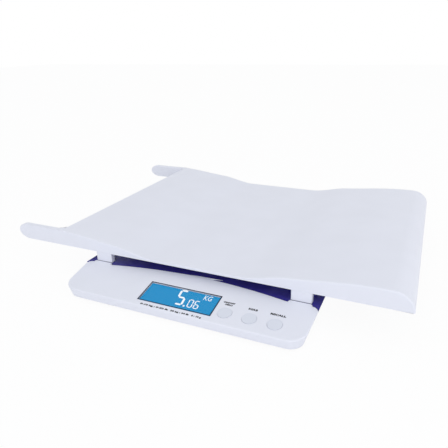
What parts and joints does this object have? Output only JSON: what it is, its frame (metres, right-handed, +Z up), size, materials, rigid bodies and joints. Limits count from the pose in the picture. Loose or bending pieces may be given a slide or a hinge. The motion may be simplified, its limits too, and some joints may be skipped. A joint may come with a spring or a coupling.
{
  "type": "digital baby scale",
  "caption": "Digital baby weighing scale: white lift-off curved tray on legs over a white base with sloping console, blue display, push buttons and glossy indigo deck",
  "frame": {"origin": "on the floor, below the middle of the scale's overall box", "axes": "+Z up, +X toward the foot end of the tray (the end without horns), -Y toward the reader at the console"},
  "size_m": [0.55, 0.434, 0.062],
  "materials": {
    "white_plastic": "fine satin moulded ABS",
    "indigo_gloss": "high gloss ABS",
    "clear_window": "polished clear acrylic with a printed border",
    "display_glass": "liquid crystal glass with a blue polariser",
    "milky_plastic": "milky diffusing acrylic",
    "dark_rubber": "matt moulded rubber",
    "board_green": "solder resist on glass epoxy",
    "black_plastic": "matt moulded thermoplastic",
    "ivory_plastic": "natural nylon",
    "button_plastic": "satin moulded ABS",
    "sprung_steel": "nickel plated spring steel",
    "grey_plastic": "fine textured ABS",
    "battery_jacket": "shrink film over a steel can",
    "contact_plate": "bright nickel plate",
    "screw_steel": "zinc plated steel",
    "wire_jacket": "extruded PVC"
  },
  "bodies": {
    "base": {"top_housing": "white_plastic", "bottom_housing": "white_plastic", "deck_panel": "indigo_gloss", "display_lens": "clear_window", "display_glass": "display_glass", "light_guide": "milky_plastic", "contact_strips": "dark_rubber", "display_frame": "white_plastic", "main_board": "board_green", "board_chips": "black_plastic", "board_connectors": "ivory_plastic", "power_switch": "black_plastic", "unit_switch": "black_plastic", "memory_switch": "black_plastic", "cell_front_left": "sprung_steel", "cell_front_right": "sprung_steel", "cell_rear_left": "sprung_steel", "cell_rear_right": "sprung_steel", "cell_frame_front_left": "grey_plastic", "cell_frame_front_right": "grey_plastic", "cell_frame_rear_left": "grey_plastic", "cell_frame_rear_right": "grey_plastic", "foot_front_left": "grey_plastic", "foot_front_right": "grey_plastic", "foot_rear_left": "grey_plastic", "foot_rear_right": "grey_plastic", "foot_pad_front_left": "dark_rubber", "foot_pad_front_right": "dark_rubber", "foot_pad_rear_left": "dark_rubber", "foot_pad_rear_right": "dark_rubber", "batteries": "battery_jacket", "battery_contacts": "contact_plate", "housing_screws": "screw_steel", "board_screws": "screw_steel", "cell_screws": "screw_steel", "cell_wires": "wire_jacket", "battery_wires": "wire_jacket"},
    "tray": {"tray_shell": "white_plastic", "leg_front_left": "white_plastic", "leg_front_right": "white_plastic", "leg_rear_left": "white_plastic", "leg_rear_right": "white_plastic", "leg_pads": "dark_rubber", "leg_screws": "screw_steel"},
    "power": {"power_button": "button_plastic", "power_stem": "black_plastic"},
    "unit": {"unit_button": "button_plastic", "unit_stem": "black_plastic"},
    "memory": {"memory_button": "button_plastic", "memory_stem": "black_plastic"},
    "door": {"battery_door": "white_plastic"}
  },
  "joints": [
    {"name": "tray_lift", "type": "slide", "parent": "base", "child": "tray", "axis": [0, 0, 1], "range_m": [0, 0.03]},
    {"name": "power_press", "type": "slide", "parent": "base", "child": "power", "axis": [0, 0.1702, -0.9854], "range_m": [0, 0.0008], "stiffness_N_per_m": 1500, "springref_m": -0.0002},
    {"name": "unit_press", "type": "slide", "parent": "base", "child": "unit", "axis": [0, 0.1702, -0.9854], "range_m": [0, 0.0008], "stiffness_N_per_m": 1500, "springref_m": -0.0002},
    {"name": "memory_press", "type": "slide", "parent": "base", "child": "memory", "axis": [0, 0.1702, -0.9854], "range_m": [0, 0.0008], "stiffness_N_per_m": 1500, "springref_m": -0.0002},
    {"name": "door_slide", "type": "slide", "parent": "base", "child": "door", "axis": [1, 0, 0], "range_m": [0, 0.009]}
  ]
}
